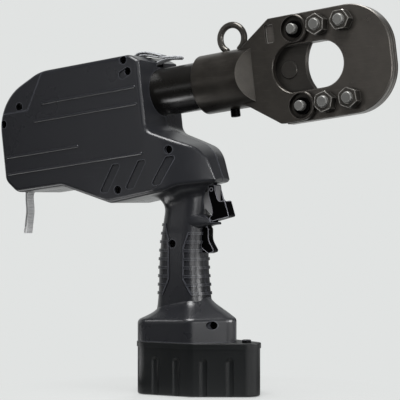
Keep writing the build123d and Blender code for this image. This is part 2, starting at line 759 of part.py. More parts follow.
def ram():
    body = bar(PISTON_REAR, PISTON_FRONT, BORE_R - RUN_GAP) + bar(PISTON_FRONT, ROD_FRONT, ROD_R)
    tongue = stack_half() - RUN_GAP
    body += box(ROD_FRONT, TONGUE_FRONT, -tongue, tongue, -TONGUE_HALF_H, TONGUE_HALF_H)
    middle = (PISTON_REAR + PISTON_FRONT) / 2
    ring = bar(middle - SEAL_W / 2, middle + SEAL_W / 2, BORE_R)
    body -= ring - bar(middle - SEAL_W, middle + SEAL_W, BORE_R - RUN_GAP - SEAL_T)
    tang = BLADE_REAR - TANG_L
    body -= box(tang, TONGUE_FRONT + 1, -BLADE_T / 2 - RUN_GAP, BLADE_T / 2 + RUN_GAP, -ROD_R, ROD_R)
    return TOOL * (body - cross(blade_pin_x(), 0, -ROD_R, ROD_R, BLADE_PIN_R + SEAT_GAP))


def blade_pin_x():
    return BLADE_REAR - TANG_L + TANG_HALF


def piston_seal():
    middle = (PISTON_REAR + PISTON_FRONT) / 2
    half = SEAL_W / 2 - SEAT_GAP
    ring = bar(middle - half, middle + half, BORE_R - RUN_GAP / 2)
    return TOOL * (ring - bar(middle - SEAL_W, middle + SEAL_W, BORE_R - RUN_GAP - SEAL_T + SEAT_GAP))


def rod_gland():
    gland = bar(TUBE_FRONT - GLAND_L, TUBE_FRONT, BORE_R - SEAT_GAP)
    return TOOL * (gland - bar(TUBE_FRONT - GLAND_L, TUBE_FRONT, ROD_R + RUN_GAP))


def return_spring():
    length = TUBE_FRONT - GLAND_L - PISTON_FRONT - 2 * SEAT_GAP
    wire = coil((ROD_R + BORE_R) / 2, SPRING_WIRE_R, length, SPRING_TURNS)
    return TOOL * Pos(PISTON_FRONT + SEAT_GAP, 0, 0) * Rot(0, 90, 0) * wire


def tube_clamp():
    out = HALF_WIDTH - WALL - SEAT_GAP
    block = box(CLAMP_REAR, CLAMP_FRONT, -out, out, -CLAMP_HALF_H, CLAMP_HALF_H)
    block -= bar(CLAMP_REAR, CLAMP_FRONT, TUBE_R + SEAT_GAP)
    return TOOL * block - clamp_screw_cuts()


def clamp_screw_cuts():
    x, z = CLAMP_SCREW
    head = HALF_WIDTH - SCREW_SINK
    cuts = cross(x, z, -2 * HALF_WIDTH, SCREW_HEAD_H - head, SCREW_HEAD_R + PLASTIC_GAP)
    cuts += cross(x, z, -head, CLAMP_SCREW_L - head, SCREW_R + SEAT_GAP)
    wide = 2 * (SCREW_HEAD_R + PLASTIC_GAP)
    shape = Pos(x, z) * Rot(0, 0, CLAMP_RECESS_TURN) * Pos((wide - CLAMP_RECESS_L) / 2, 0) * SlotOverall(
        CLAMP_RECESS_L, wide)
    cuts += slab(shape, -2 * HALF_WIDTH, CLAMP_RECESS_DEPTH - HALF_WIDTH)
    return TOOL * (cuts + mirror(cuts, Plane.XZ))


def clamp_screws():
    x, z = CLAMP_SCREW
    head = HALF_WIDTH - SCREW_SINK
    near = Pos(x, 0, z) * screw(-head, CLAMP_SCREW_L - head - SEAT_GAP)
    return TOOL * (near + mirror(near, Plane.XZ))


# Pump, gears and motor

def drive_z():
    return MOTOR_Z + GEAR_MODULE * (PINION_TEETH + GEAR_TEETH) / 2


def pump_body():
    low = pump_low()
    block = box(PUMP_REAR, PUMP_FRONT, -PUMP_HALF, PUMP_HALF, low, PUMP_TOP)
    block -= bar(TUBE_REAR, PUMP_FRONT, TUBE_R + SEAT_GAP)
    block -= bar(PUMP_REAR, PUMP_REAR + 2 * BEARING_W + BEARING_GAP, BEARING_R + SEAT_GAP, z=drive_z())
    block -= post(plunger_x(), 0, drive_z(), plunger_low() + PLUNGER_L + 1.0, PLUNGER_R + SEAT_GAP)
    return TOOL * block


def plunger_x():
    return PUMP_REAR + BEARING_W + BEARING_GAP / 2


def plunger_low():
    return drive_z() + LOBE_R + LOBE_OFFSET + RUN_GAP


def pump_plunger():
    return TOOL * post(plunger_x(), 0, plunger_low(), plunger_low() + PLUNGER_L, PLUNGER_R)


def shaft_bearings():
    rings = []
    for rear in (PUMP_REAR, PUMP_REAR + BEARING_W + BEARING_GAP):
        ring = bar(rear, rear + BEARING_W, BEARING_R, z=drive_z())
        rings.append(ring - bar(rear, rear + BEARING_W, DRIVE_R + RUN_GAP, z=drive_z()))
    return TOOL * (Part() + rings)


def eccentric_shaft():
    end = PUMP_REAR + 2 * BEARING_W + BEARING_GAP
    shaft = bar(GEAR_REAR, end - 0.5, DRIVE_R, z=drive_z())
    lobe = bar(PUMP_REAR + BEARING_W + 2.0, PUMP_REAR + BEARING_W + BEARING_GAP - 2.0, LOBE_R,
               z=drive_z() - LOBE_OFFSET)
    return TOOL * (shaft + lobe)


def toothed(teeth, turn):
    """Gear outline with straight flanked teeth and room to run."""
    pitch_r = GEAR_MODULE * teeth / 2
    root, tip = pitch_r - GEAR_MODULE, pitch_r + 0.6 * GEAR_MODULE
    step = 2 * pi / teeth
    wide, narrow = 0.26 * step, 0.10 * step
    points = []
    for i in range(teeth):
        middle = i * step + radians(turn)
        for radius, shift in ((root, -wide), (tip, -narrow), (tip, narrow), (root, wide)):
            points.append((radius * cos(middle + shift), radius * sin(middle + shift)))
    return polygon(points)


def gear(teeth, turn, bore):
    """Gear along X, its outline seen from behind the tool."""
    wheel = extrude(toothed(teeth, turn), GEAR_W) - Pos(0, 0, GEAR_W / 2) * Cylinder(bore, GEAR_W)
    return Pos(GEAR_REAR, 0, 0) * Plane.YZ.location * wheel


def drive_gear():
    return TOOL * Pos(0, 0, drive_z()) * gear(GEAR_TEETH, -90.0, DRIVE_R + SEAT_GAP)


def pinion():
    return TOOL * Pos(0, 0, MOTOR_Z) * gear(PINION_TEETH, 90.0 + 180.0 / PINION_TEETH, SHAFT_R + SEAT_GAP)


def motor_can():
    can = bar(MOTOR_REAR, MOTOR_FRONT, MOTOR_R) - bar(MOTOR_REAR + MOTOR_WALL, MOTOR_FRONT - MOTOR_WALL,
                                                      MOTOR_R - MOTOR_WALL)
    return TOOL * Pos(0, 0, MOTOR_Z) * (can - bar(MOTOR_REAR, MOTOR_FRONT, SHAFT_R + RUN_GAP))


def motor_rotor():
    room = 3.0
    rotor = bar(MOTOR_REAR + MOTOR_WALL + room, MOTOR_FRONT - MOTOR_WALL - room, ROTOR_R)
    return TOOL * Pos(0, 0, MOTOR_Z) * (rotor + bar(GEAR_REAR, MOTOR_FRONT, SHAFT_R))


def oil_bladder():
    bag = box(BLADDER_REAR, BLADDER_FRONT, -BLADDER_HALF, BLADDER_HALF, BLADDER_LOW, BLADDER_HIGH)
    bag = fillet(bag.edges(), 8.0)
    return TOOL * (bag + bar(BLADDER_FRONT - NECK_R, PUMP_REAR - SEAT_GAP, NECK_R, z=NECK_Z))


def release_valve():
    """Valve block under the clamp."""
    middle = (CLAMP_REAR + CLAMP_FRONT) / 2
    return TOOL * box(middle - VALVE_L / 2, middle + VALVE_L / 2, -VALVE_HALF, VALVE_HALF, VALVE_LOW,
                      -CLAMP_HALF_H - SEAT_GAP)


def valve_foot():
    """Where the release rod meets the valve, in the part frame."""
    return to_part((CLAMP_REAR + CLAMP_FRONT) / 2, VALVE_LOW - LINK_GAP)


def release_rod():
    return strut(ROD_FOOT, valve_foot(), LINK_R)


# Triggers

def upper_trigger():
    side = drawn(LEVER_SIDE, (0.8, 4, 6, 3, 1.2, 0.8, 1.5, 1.5, 1.2, 1.2, 2, 0.8))
    lever = slab(side, -TRIGGER_HALF, TRIGGER_HALF)
    inner = TRIGGER_HALF - TRIGGER_CHEEK
    front = LEVER_SIDE[6][0]
    open_top = box(0, 2 * front, -inner, inner, LEVER_OPEN_Z, LEVER_TOP + 1)
    heel_x, heel_z = LEVER_SIDE[5]
    toe_x, toe_z = LEVER_SIDE[6]
    high = LEVER_OPEN_Z + 1
    hollow = slab(polygon(((0, heel_z + TRIGGER_WALL), (heel_x, heel_z + TRIGGER_WALL),
                           (toe_x - 2 * TRIGGER_WALL, toe_z + TRIGGER_WALL),
                           (LEVER_SIDE[7][0] - TRIGGER_WALL, high), (0, high))), -inner, inner)
    lever = lever - open_top - hollow
    return lever - cross(*TRIGGER_PIN, -HALF_WIDTH, HALF_WIDTH, TRIGGER_PIN_R + RUN_GAP)


def trigger_switch():
    """Grey switch body: a round nose that the lever straddles, and a block in the grip."""
    half = switch_half()
    nose = cross(*CORE_CENTRE, -half, half, CORE_R) & box(0, CORE_FRONT, -half, half, 0, AXIS_Z)
    neck = box(SWITCH_FRONT, CORE_CENTRE[0] - CORE_R / 2, -half, half, SWITCH_LOW + SWITCH_STEP,
               SWITCH_HIGH - SWITCH_STEP)
    block = box(SWITCH_REAR, SWITCH_FRONT, -SWITCH_HALF, SWITCH_HALF, SWITCH_LOW, SWITCH_HIGH)
    return nose + neck + block - cross(*TRIGGER_PIN, -HALF_WIDTH, HALF_WIDTH, TRIGGER_PIN_R + SEAT_GAP)


def trigger_pin():
    return cross(*TRIGGER_PIN, -TRIGGER_HALF, TRIGGER_HALF, TRIGGER_PIN_R)


def lower_trigger():
    lever = slab(drawn(RELEASE_SIDE, (1.5, 2, 12, 2, 1.5, 3, 2, 0.5, 0.5, 1)), -RELEASE_HALF, RELEASE_HALF)
    return lever - cross(*RELEASE_PIN, -HALF_WIDTH, HALF_WIDTH, TRIGGER_PIN_R + RUN_GAP)


def release_pin():
    reach = RELEASE_HALF + MOVE_GAP + RELEASE_LUG_T
    return cross(*RELEASE_PIN, -reach, reach, TRIGGER_PIN_R)


def release_pin_hole():
    reach = RELEASE_HALF + MOVE_GAP + RELEASE_LUG_T + SEAT_GAP
    return cross(*RELEASE_PIN, -reach, reach, TRIGGER_PIN_R + SEAT_GAP)


def release_lugs(inside):
    """Lugs in the front of the grip that carry the release lever's pin."""
    x, z = RELEASE_PIN
    reach = RELEASE_HALF + MOVE_GAP + RELEASE_LUG_T
    lug = box(x - RELEASE_LUG_R, HALF_WIDTH, -reach, reach, z - RELEASE_LUG_R, z + RELEASE_LUG_R)
    return lug & inside


# Cutting head

def ear_spots():
    return [(BOLT_X, side * BOLT_Z) for side in (1, -1)]


def nut_spots():
    return [(BOLT_X + i * BOLT_PITCH, side * BOLT_Z) for side in (1, -1) for i in (1, 2)]


def stack_half():
    """Half thickness of the two plates and the guide between them."""
    return PLATE_T + guide_half()


def guide_half():
    return BLADE_T / 2 + RUN_GAP


def yoke_side():
    points = ((NECK_X - 8.0, -COLLAR_R + 4.0), (NECK_X, -COLLAR_R), (FLARE_LOW_X, -HEAD_HALF),
              (BOLT_X, -HEAD_HALF), (BOLT_X, HEAD_HALF), (FLARE_X, HEAD_HALF), (NECK_X, COLLAR_R),
              (NECK_X - 8.0, COLLAR_R - 4.0))
    face = drawn(points, (0, 4, 2, 0, 0, 2, 4, 0))
    ends = [Pos(BOLT_X, side * BOLT_Z) * Circle(HEAD_HALF - BOLT_Z) for side in (-1, 1)]
    face = face + ends
    face = face - Pos(WINDOW_X, 0) * Circle(WINDOW_R)
    return face - Pos(WINDOW_X + HEAD_HALF, 0) * Rectangle(2 * HEAD_HALF, 2 * WINDOW_R)


def collar():
    round_bar = bar(COLLAR_REAR, SLOPE_END, COLLAR_R)
    round_bar = chamfer(round_bar.edges().sort_by(Axis.X)[0], 1.0)
    wedge = polygon(((SLOPE_START, COLLAR_R), (SLOPE_END, EAR_HALF), (2 * SLOPE_END, EAR_HALF),
                     (2 * SLOPE_END, 2 * COLLAR_R), (SLOPE_START, 2 * COLLAR_R)))
    cut = extrude(Pos(0, 0, -HEAD_HALF) * wedge, 2 * HEAD_HALF)
    return round_bar - cut - mirror(cut, Plane.XZ)


def yoke():
    cheeks = slab(yoke_side(), -EAR_HALF, EAR_HALF)
    body = collar() + chamfer(cheeks.edges().filter_by(Axis.Y, reverse=True), STEEL_EDGE)
    stack = stack_half() + SEAT_GAP
    body -= box(SLOT_X, PLATE_NOSE, -stack, stack, -2 * HEAD_HALF, 2 * HEAD_HALF)
    body -= bar(COLLAR_REAR - 1, TUBE_FRONT + SHOULDER_GAP, TUBE_R + RUN_GAP)
    body -= bar(TUBE_FRONT, SLOT_X, ROD_R + ROD_BORE_GAP)
    for x, z in ear_spots():
        body -= cross(x, z, -EAR_HALF, EAR_HALF, EAR_PIN_R + SEAT_GAP)
        body -= cross(x, z, -2 * EAR_HALF, EAR_BORE_DEPTH - EAR_HALF, EAR_BORE_R)
        body -= cross(x, z, EAR_HALF - EAR_BORE_DEPTH, 2 * EAR_HALF, EAR_BORE_R)
    body -= latch_pocket()
    body -= eye_ring(SEAT_GAP)
    body -= post(GROOVE_X, 0, -2 * COLLAR_R, 0, LOCK_R + SEAT_GAP)
    return TOOL * body


def latch_pocket():
    face = Pos(LATCH_X, LATCH_Z) * RectangleRounded(LATCH_W, LATCH_H, LATCH_W / 4)
    return slab(face, -2 * EAR_HALF, LATCH_SINK - EAR_HALF)


def yoke_latch():
    """Plate on the floor of the pocket in the near cheek."""
    gap = PLASTIC_GAP
    face = Pos(LATCH_X, LATCH_Z) * RectangleRounded(LATCH_W - gap, LATCH_H - gap, (LATCH_W - gap) / 4)
    floor = LATCH_SINK - EAR_HALF - SEAT_GAP
    return TOOL * slab(face, floor - LATCH_T, floor)


def eye_ring(gap):
    """Round wire eye with its feet in the collar, or the seat it needs."""
    turn = radians(EYE_SWEEP)
    wire = EYE_WIRE_R + gap
    ends = [(EYE_X + side * EYE_R * sin(turn), 0, EYE_Z + EYE_R * cos(turn)) for side in (-1, 1)]
    path = ThreePointArc(ends[0], (EYE_X, 0, EYE_Z + EYE_R), ends[1])
    ring = sweep(Plane(origin=path @ 0, z_dir=path % 0) * Circle(wire), path=path)
    for x, y, z in ends:
        ring += Pos(x, y, z) * Sphere(wire) + post(x, y, EYE_SEAT - gap, z, wire)
    return ring


def lifting_eye():
    return TOOL * eye_ring(0)


def collar_screw():
    base = -COLLAR_R - SEAT_GAP
    head = post(GROOVE_X, 0, base - LOCK_HEAD_H, base, LOCK_HEAD_R)
    head = chamfer(head.edges().sort_by(Axis.Z)[0], 0.6)
    shank = post(GROOVE_X, 0, base, -TUBE_R + GROOVE_DEPTH - RUN_GAP, LOCK_R)
    shape = RegularPolygon(LOCK_SOCKET / sqrt(3), 6)
    socket = extrude(Pos(GROOVE_X, 0, base - LOCK_HEAD_H) * shape, LOCK_SOCKET)
    return TOOL * (head + shank - socket)


def plate_side():
    points = ((PLATE_REAR, -PLATE_HALF), (PLATE_NOSE, -PLATE_HALF), (PLATE_NOSE, PLATE_HALF),
              (PLATE_REAR, PLATE_HALF))
    return drawn(points, (0, NOSE_R, NOSE_R, 0))


def bolt_holes(face):
    for x, z in nut_spots():
        face = face - Pos(x, z) * Circle(BOLT_R + SEAT_GAP)
    for x, z in ear_spots():
        face = face - Pos(x, z) * Circle(EAR_PIN_R + SEAT_GAP)
    return face


def head_plate(side):
    face = bolt_holes(plate_side()) - Pos(HOLE_X, 0) * Circle(HOLE_R)
    face = face - Pos((PLATE_REAR + HOLE_X) / 2, 0) * Rectangle(HOLE_X - PLATE_REAR, 2 * HOLE_R)
    low, high = sorted((side * guide_half(), side * stack_half()))
    plate = slab(face, low, high)
    outside = plate.faces().sort_by(Axis.Y)[0 if side < 0 else -1]
    return TOOL * chamfer(outside.outer_wire().edges(), STEEL_EDGE)


def blade_guide():
    length = GUIDE_END - PLATE_REAR
    face = bolt_holes(plate_side()) - Pos(PLATE_REAR + length / 2, 0) * Rectangle(length, 2 * HOLE_R)
    return TOOL * slab(face, -guide_half() + SEAT_GAP, guide_half() - SEAT_GAP)


def moving_blade():
    half = HOLE_R - RUN_GAP
    sag = BLADE_TIP - BLADE_MID
    hollow_r = (half ** 2 + sag ** 2) / (2 * sag)
    face = Pos((BLADE_REAR + BLADE_TIP) / 2, 0) * Rectangle(BLADE_TIP - BLADE_REAR, 2 * half)
    face = face - Pos(BLADE_MID + hollow_r, 0) * Circle(hollow_r)
    tang = BLADE_REAR - TANG_L + RUN_GAP
    face = face + Pos((tang + BLADE_REAR) / 2, 0) * Rectangle(BLADE_REAR - tang, 2 * TANG_HALF)
    face = face - Pos(blade_pin_x(), 0) * Circle(BLADE_PIN_R + SEAT_GAP)
    blade = slab(face, -BLADE_T / 2, BLADE_T / 2)
    edge = blade.edges().filter_by(GeomType.CIRCLE).filter_by(lambda e: abs(e.radius - hollow_r) < 0.01)
    blade = chamfer(edge, BLADE_BEVEL)
    reach = BLADE_T / 2 + BLADE_BOSS_RISE
    boss = cross(BLADE_BOSS_X, 0, -reach, reach, BLADE_BOSS_R)
    return TOOL * (blade + chamfer(boss.edges().filter_by(GeomType.CIRCLE), BLADE_BOSS_RISE / 2))


def blade_pin():
    reach = stack_half() - 2 * RUN_GAP
    return TOOL * cross(blade_pin_x(), 0, -reach, reach, BLADE_PIN_R)


def frame_nuts():
    nuts = []
    for turn, (x, z) in zip(NUT_TURNS, nut_spots()):
        nut = hexagon(NUT_FLATS, NUT_H) - Pos(0, 0, NUT_H / 2) * Cylinder(BOLT_R + SEAT_GAP, NUT_H)
        place = Plane(origin=(x, -stack_half() - SEAT_GAP, z), z_dir=(0, -1, 0), x_dir=(1, 0, 0))
        nuts.append(place * Rot(0, 0, turn) * nut)
    return TOOL * (Part() + nuts)


def frame_bolts():
    bolts = []
    end = stack_half() + NUT_H + BOLT_END
    seat = stack_half() + SEAT_GAP
    for turn, (x, z) in zip(NUT_TURNS, nut_spots()):
        shank = cross(x, z, -end, seat, BOLT_R)
        shank = chamfer(shank.edges().sort_by(Axis.Y)[0], 0.8)
        place = Plane(origin=(x, seat, z), z_dir=(0, 1, 0), x_dir=(1, 0, 0))
        bolts.append(shank + place * Rot(0, 0, turn) * hexagon(NUT_FLATS, BOLT_HEAD_H))
    return TOOL * (Part() + bolts)


def ear_pins():
    reach = EAR_HALF + EAR_PIN_RISE
    pins = []
    for x, z in ear_spots():
        pin = cross(x, z, -reach, reach, EAR_PIN_R)
        pins.append(chamfer(pin.edges().filter_by(GeomType.CIRCLE), 0.7))
    return TOOL * (Part() + pins)


def pin_rings():
    """Retaining rings on the ear pins, on the floors of the ear recesses."""
    floor = EAR_HALF - EAR_BORE_DEPTH + SEAT_GAP
    rings = []
    for x, z in ear_spots():
        ring = cross(x, z, -floor - PIN_RING_T, -floor, PIN_RING_R)
        rings.append(ring - cross(x, z, -floor - PIN_RING_T, -floor, EAR_PIN_R + SEAT_GAP))
    near = Part() + rings
    return TOOL * (near + mirror(near, Plane.XZ))


# Battery

def battery_plan(radius):
    middle = CELL_REAR_X + 2 * CELL_PITCH
    return wrapped(CELL_REAR_X, middle, middle + 2 * ROW_STEP, CELL_PITCH, radius)


def flutes():
    """Round grooves between the standing cells, closed at the top."""
    middle = CELL_REAR_X + 2 * CELL_PITCH
    out = case_r() + FLUTE_R - FLUTE_DEPTH
    lean = atan2(CELL_PITCH, 2 * ROW_STEP)
    spots = [(CELL_REAR_X + (i + 0.5) * CELL_PITCH, CELL_PITCH + out) for i in range(2)]
    for share in FLUTE_SHARES:
        spots.append((middle + share * 2 * ROW_STEP + out * sin(lean),
                      CELL_PITCH * (1 - share) + out * cos(lean)))
    cuts = []
    for x, y in spots:
        for side in (-1, 1):
            cuts.append(post(x, side * y, -FLUTE_R, FLUTE_TOP - FLUTE_R, FLUTE_R))
            cuts.append(Pos(x, side * y, FLUTE_TOP - FLUTE_R) * Sphere(FLUTE_R))
    return Part() + cuts


def battery_case():
    case = extrude(battery_plan(case_r()), CASE_TOP)
    case = fillet(case.faces().sort_by(Axis.Z)[0].edges(), BATTERY_EDGE)
    case -= flutes()
    floor = CASE_TOP - CELL_H
    for x, y in cell_spots():
        case -= post(x, y, floor - SEAT_GAP, CASE_TOP, CELL_R + SEAT_GAP)
    return case


def cell_spots():
    rows = [(CELL_REAR_X + i * CELL_PITCH, (-CELL_PITCH, 0.0, CELL_PITCH)) for i in range(3)]
    last = CELL_REAR_X + 2 * CELL_PITCH
    rows.append((last + ROW_STEP, (-CELL_PITCH / 2, CELL_PITCH / 2)))
    rows.append((last + 2 * ROW_STEP, (0.0,)))
    return [(x, y) for x, ys in rows for y in ys]


def battery_cells():
    floor = CASE_TOP - CELL_H
    return Part() + [post(x, y, floor, CASE_TOP - SEAT_GAP, CELL_R) for x, y in cell_spots()]


def battery_lid():
    plan = battery_plan(case_r() + LID_LIP)
    lid = extrude(Pos(0, 0, CASE_TOP + SEAT_GAP) * plan, BATTERY_TOP - CASE_TOP - 0.1)
    lid = fillet(lid.faces().sort_by(Axis.Z)[-1].edges(), 0.8)
    stem = box(STEM_REAR, STEM_FRONT, -STEM_HALF, STEM_HALF, BATTERY_TOP - 1.0, STEM_TOP)
    stem = fillet(stem.edges().filter_by(Axis.Z), 3.0)
    lid += stem
    inner = STEM_HALF - STEM_WALL
    lid -= box(STEM_REAR + STEM_WALL, STEM_FRONT - STEM_WALL, -inner, inner, CASE_TOP, STEM_TOP - STEM_WALL)
    lid -= post(BUTTON_X, 0, button_floor(), BATTERY_TOP, BUTTON_WELL_R)
    lid += post(BUTTON_X, 0, BATTERY_TOP - 1.3, BATTERY_TOP - 0.1, BUTTON_WELL_R + 0.5)
    lid -= post(BUTTON_X, 0, button_floor(), BATTERY_TOP + 1, BUTTON_R + RUN_GAP)
    for spot in contact_spots():
        lid -= post(*spot, STEM_TOP - STEM_WALL - 1, STEM_TOP + 1, CONTACT_R + SEAT_GAP)
    return lid


def button_floor():
    return CASE_TOP + 0.6


def contact_spots():
    middle = (STEM_REAR + STEM_FRONT) / 2
    return [(middle + x, y) for x in (-6.0, 6.0) for y in (-4.5, 4.5)]


def battery_contacts():
    return Part() + [post(x, y, STEM_TOP - STEM_WALL - CONTACT_H, STEM_TOP + 0.6, CONTACT_R)
                     for x, y in contact_spots()]


def terminal_low():
    return STEM_TOP + 1.0


def terminal_block():
    low = terminal_low()
    return box(STEM_REAR, STEM_FRONT, -STEM_HALF, STEM_HALF, low, low + TERMINAL_H)


def battery_button():
    base = button_floor() + BUTTON_TRAVEL + 0.2
    knob = post(BUTTON_X, 0, base, BATTERY_TOP + BUTTON_RISE, BUTTON_R)
    knob = fillet(knob.edges().sort_by(Axis.Z)[-1], 1.0)
    return knob


# Woven tabs

def strap_band(points, radii, thickness):
    """Flat band in the X-Z plane along a rounded path, as one solid."""
    path = FilletPolyline(*points, radius=radii)
    return slab(trace(path, thickness), -STRAP_W / 2, STRAP_W / 2)


def strap_front():
    """Doubled tab: round the front sleeve, over and under the housing's front edge, to its end."""
    x, z = STRAP_SCREW
    hug = strap_hug()
    top = BODY_TOP + STRAP_T / 2 + PLASTIC_GAP
    end_x, end_z = FRONT_END
    lower = strap_band(((x, z - hug), (BODY_FRONT + 8.0, z - hug), (end_x, end_z)), (20,), STRAP_T)
    upper = strap_band(((x - hug, z), (x - hug, top), (BODY_FRONT + 4.0, top + STRAP_T),
                        (end_x, end_z + STRAP_T)), (3, 16), STRAP_T)
    return TOOL * (bar_ring(x, z, hug) + lower + upper + strap_tip(end_x, end_z + STRAP_T / 2))


def strap_hug():
    """Radius of the woven band's middle round a sleeve."""
    return SLEEVE_R + STRAP_T / 2 + SEAT_GAP


def bar_ring(x, z, radius):
    outer, inner = radius + STRAP_T / 2, radius - STRAP_T / 2
    ring = cross(x, z, -STRAP_W / 2, STRAP_W / 2, outer)
    return ring - cross(x, z, -STRAP_W / 2, STRAP_W / 2, inner)


def strap_tip(x, z):
    return cross(x, z, -STRAP_W / 2, STRAP_W / 2, STRAP_T + 0.4)


def strap_rear():
    """Doubled tab that hangs from the rear sleeve."""
    x, z = to_part(*STRAP_PIN)
    hug = strap_hug()
    ring = bar_ring(x, z, hug)
    legs = []
    for side in (-1, 1):
        foot_x = REAR_STRAP_X + side * STRAP_T / 2
        legs.append(strap_band(((x + side * hug, z), (x + side * hug, z - 6.0), (foot_x, z - 16.0),
                                (foot_x, REAR_END_Z)), (5, 8), STRAP_T))
    return ring + legs + strap_tip(REAR_STRAP_X, REAR_END_Z)


def sleeves_on_screws():
    rings = Part() + strap_sleeves()
    for x, z, half in through_screws()[:1]:
        rings -= cross(x, z, -half, half, SCREW_R + SEAT_GAP)
    return rings


# Small springs

def trigger_spring():
    """Between the switch nose and the front wall of the lever."""
    z = LEVER_OPEN_Z - 6.0
    start = CORE_FRONT + SEAT_GAP
    length = LEVER_SIDE[7][0] - TRIGGER_WALL + 1.0 - start
    return Pos(start, 0, z) * Rot(0, 90, 0) * coil(2.2, 0.35, length, 5)


def button_spring():
    base = button_floor() + SEAT_GAP
    return Pos(BUTTON_X, 0, base) * coil(BUTTON_R - 1.0, 0.25, BUTTON_TRAVEL + 0.2 - 2 * SEAT_GAP, 2)


def main():
    os.makedirs("parts", exist_ok=True)
    right, left = fitted_shells()
    pieces = {
        "housing_right": right, "housing_left": left, "rear_cap": rear_cap(),
        "housing_screws": housing_screws(), "cap_screws": cap_screws(),
        "strap_sleeves": sleeves_on_screws(), "strap_front": strap_front(), "strap_rear": strap_rear(),
        "cylinder_tube": cylinder_tube(), "rod_gland": rod_gland(), "tube_clamp": tube_clamp(),
        "clamp_screws": clamp_screws(), "pump_body": pump_body(), "pump_plunger": pump_plunger(),
        "shaft_bearings": shaft_bearings(), "oil_bladder": oil_bladder(), "release_valve": release_valve(),
        "motor_can": motor_can(), "trigger_switch": trigger_switch(), "trigger_pin": trigger_pin(),
        "release_pin": release_pin(), "terminal_block": terminal_block(),
        "ram": ram(), "piston_seal": piston_seal(), "return_spring": return_spring(),
        "blade_pin": blade_pin(), "moving_blade": moving_blade(),
        "yoke": yoke(), "yoke_latch": yoke_latch(), "lifting_eye": lifting_eye(),
        "collar_screw": collar_screw(),
        "near_plate": head_plate(-1), "far_plate": head_plate(1), "blade_guide": blade_guide(),
        "frame_bolts": frame_bolts(), "frame_nuts": frame_nuts(), "ear_pins": ear_pins(),
        "pin_rings": pin_rings(),
        "motor_rotor": motor_rotor(), "pinion": pinion(), "drive_gear": drive_gear(),
        "eccentric_shaft": eccentric_shaft(),
        "upper_trigger": upper_trigger(), "trigger_spring": trigger_spring(),
        "lower_trigger": lower_trigger(), "release_rod": release_rod(),
        "battery_case": battery_case(), "battery_lid": battery_lid(), "battery_cells": battery_cells(),
        "battery_contacts": battery_contacts(), "battery_button": battery_button(),
        "button_spring": button_spring(),
    }
    boxes = [piece.bounding_box() for piece in pieces.values()]
    middle = (min(b.min.X for b in boxes) + max(b.max.X for b in boxes)) / 2
    for name, piece in pieces.items():
        export_step(Pos(-middle, 0, 0) * piece, f"parts/{name}.step")
    print("middle", round(middle, 4))


if __name__ == "__main__":
    main()
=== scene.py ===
import bpy
import json
from math import radians, cos, sin, pi
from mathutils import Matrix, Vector


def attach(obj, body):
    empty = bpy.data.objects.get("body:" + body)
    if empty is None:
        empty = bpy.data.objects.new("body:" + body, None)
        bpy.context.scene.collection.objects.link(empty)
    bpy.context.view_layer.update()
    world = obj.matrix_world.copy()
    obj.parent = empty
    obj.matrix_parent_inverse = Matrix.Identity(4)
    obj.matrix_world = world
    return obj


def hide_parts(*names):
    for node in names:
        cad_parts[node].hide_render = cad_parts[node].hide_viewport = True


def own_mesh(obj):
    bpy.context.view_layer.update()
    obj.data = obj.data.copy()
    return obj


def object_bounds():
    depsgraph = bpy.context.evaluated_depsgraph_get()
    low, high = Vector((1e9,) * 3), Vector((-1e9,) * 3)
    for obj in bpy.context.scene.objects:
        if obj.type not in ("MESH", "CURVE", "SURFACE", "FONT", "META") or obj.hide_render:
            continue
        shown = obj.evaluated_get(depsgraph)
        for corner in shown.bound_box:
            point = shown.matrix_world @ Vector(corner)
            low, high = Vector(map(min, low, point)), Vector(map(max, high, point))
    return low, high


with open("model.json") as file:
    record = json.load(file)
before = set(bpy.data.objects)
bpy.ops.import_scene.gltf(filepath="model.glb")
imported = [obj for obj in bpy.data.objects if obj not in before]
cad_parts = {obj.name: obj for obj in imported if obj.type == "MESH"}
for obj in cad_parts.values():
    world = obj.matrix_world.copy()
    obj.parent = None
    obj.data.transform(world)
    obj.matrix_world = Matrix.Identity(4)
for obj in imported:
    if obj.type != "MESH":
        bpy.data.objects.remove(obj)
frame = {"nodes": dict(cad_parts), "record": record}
cad_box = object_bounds()
nodes = frame["nodes"]
scene = bpy.context.scene

# Places in metres. MIDDLE_X is the X of the shared frame's origin in the frame that the part is drawn in
MIDDLE_X = 0.0001934
AXIS_X, AXIS_Z = -0.012, 0.280
AXIS_TILT = radians(7.0)

# Camera: place in metres, lens and sensor in millimetres
CAMERA_SPOT = (0.865 - MIDDLE_X, -1.4939, 0.1773)
CAMERA_AZIMUTH = radians(30.0)
CAMERA_LENS = 169.2
CAMERA_SENSOR = 36.0
CAMERA_REACH = 20.0

# Strip of the woven tabs, lengths in metres. Picks are its cross ribs, warps the yarns along it
TAB_WIDTH = 0.0112
TAB_THICK = 0.00125
PICK = 0.0030
PICK_RISE = 0.00055
PICK_STEPS = 6
WARPS = 8
WARP_LAG = 0.5
CURVE_STEPS = 20
TINY = 1e-9

# Edges of the strip: the share of thickness they lose, and how suddenly they and the ribs fall off
EDGE_THIN = 0.55
EDGE_ROLL = 9
RIB_ROLL = 6

